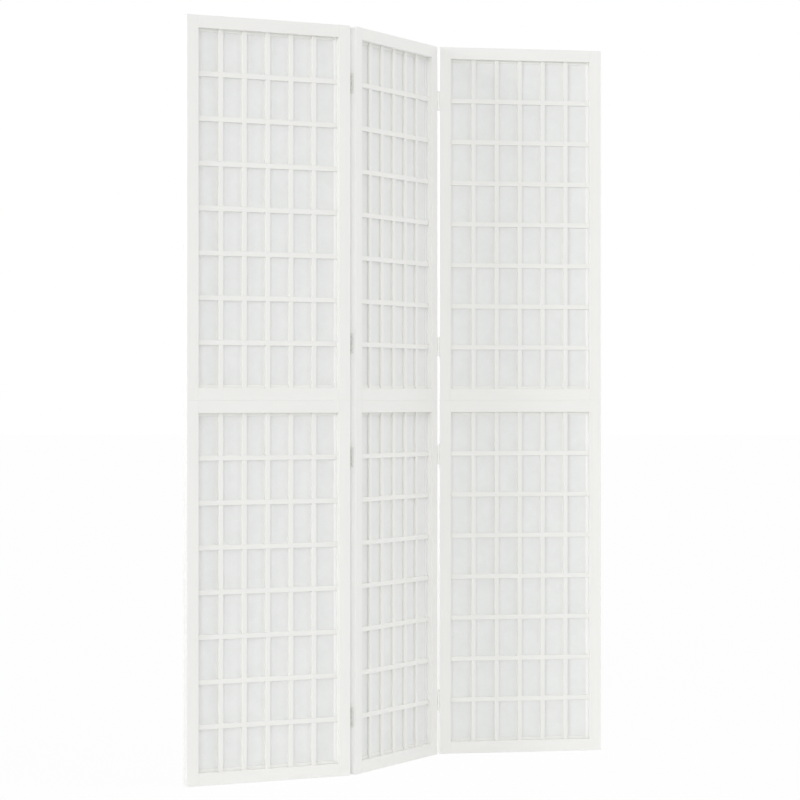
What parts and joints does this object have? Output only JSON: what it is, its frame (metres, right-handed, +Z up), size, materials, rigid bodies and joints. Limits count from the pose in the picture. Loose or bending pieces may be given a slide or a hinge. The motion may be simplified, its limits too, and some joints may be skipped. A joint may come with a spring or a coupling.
{
  "type": "folding screen",
  "caption": "Free-standing folding room screen of white-painted wood: hinged panels of stacked frames, each with a recessed lattice backed by translucent paper.",
  "frame": {"origin": "middle of the underside of the middle panel, on the floor", "axes": "+Z up; +X along the middle panel towards the right panel; -Y out of the middle panel's lattice face"},
  "size_m": [1.0205, 0.5612, 1.7],
  "materials": {
    "painted_wood": "satin white paint",
    "dowel_wood": "bare beech",
    "paper": "fibrous translucent",
    "hinge_steel": "bright zinc plated"
  },
  "bodies": {
    "middle_panel": {"left_fold_middle_leaves": "hinge_steel", "left_fold_pins": "hinge_steel", "middle_hinge_screws": "hinge_steel", "middle_joining_dowels": "dowel_wood", "middle_lower_bottom_rail": "painted_wood", "middle_lower_lattice_crossbars": "painted_wood", "middle_lower_lattice_uprights": "painted_wood", "middle_lower_left_stile": "painted_wood", "middle_lower_paper": "paper", "middle_lower_right_stile": "painted_wood", "middle_lower_top_rail": "painted_wood", "middle_upper_bottom_rail": "painted_wood", "middle_upper_lattice_crossbars": "painted_wood", "middle_upper_lattice_uprights": "painted_wood", "middle_upper_left_stile": "painted_wood", "middle_upper_paper": "paper", "middle_upper_right_stile": "painted_wood", "middle_upper_top_rail": "painted_wood", "right_fold_middle_leaves": "hinge_steel", "right_fold_pins": "hinge_steel"},
    "left_panel": {"left_fold_left_leaves": "hinge_steel", "left_hinge_screws": "hinge_steel", "left_joining_dowels": "dowel_wood", "left_lower_bottom_rail": "painted_wood", "left_lower_lattice_crossbars": "painted_wood", "left_lower_lattice_uprights": "painted_wood", "left_lower_left_stile": "painted_wood", "left_lower_paper": "paper", "left_lower_right_stile": "painted_wood", "left_lower_top_rail": "painted_wood", "left_upper_bottom_rail": "painted_wood", "left_upper_lattice_crossbars": "painted_wood", "left_upper_lattice_uprights": "painted_wood", "left_upper_left_stile": "painted_wood", "left_upper_paper": "paper", "left_upper_right_stile": "painted_wood", "left_upper_top_rail": "painted_wood"},
    "right_panel": {"right_fold_right_leaves": "hinge_steel", "right_hinge_screws": "hinge_steel", "right_joining_dowels": "dowel_wood", "right_lower_bottom_rail": "painted_wood", "right_lower_lattice_crossbars": "painted_wood", "right_lower_lattice_uprights": "painted_wood", "right_lower_left_stile": "painted_wood", "right_lower_paper": "paper", "right_lower_right_stile": "painted_wood", "right_lower_top_rail": "painted_wood", "right_upper_bottom_rail": "painted_wood", "right_upper_lattice_crossbars": "painted_wood", "right_upper_lattice_uprights": "painted_wood", "right_upper_left_stile": "painted_wood", "right_upper_paper": "paper", "right_upper_right_stile": "painted_wood", "right_upper_top_rail": "painted_wood"}
  },
  "joints": [
    {"name": "left_fold", "type": "hinge", "parent": "middle_panel", "child": "left_panel", "pos_m": [-0.2032, 0.011, 0.85], "axis": [0, 0, 1], "range_deg": [-145.6, 34.4]},
    {"name": "right_fold", "type": "hinge", "parent": "middle_panel", "child": "right_panel", "pos_m": [0.2032, -0.011, 0.85], "axis": [0, 0, 1], "range_deg": [-129, 51]}
  ]
}
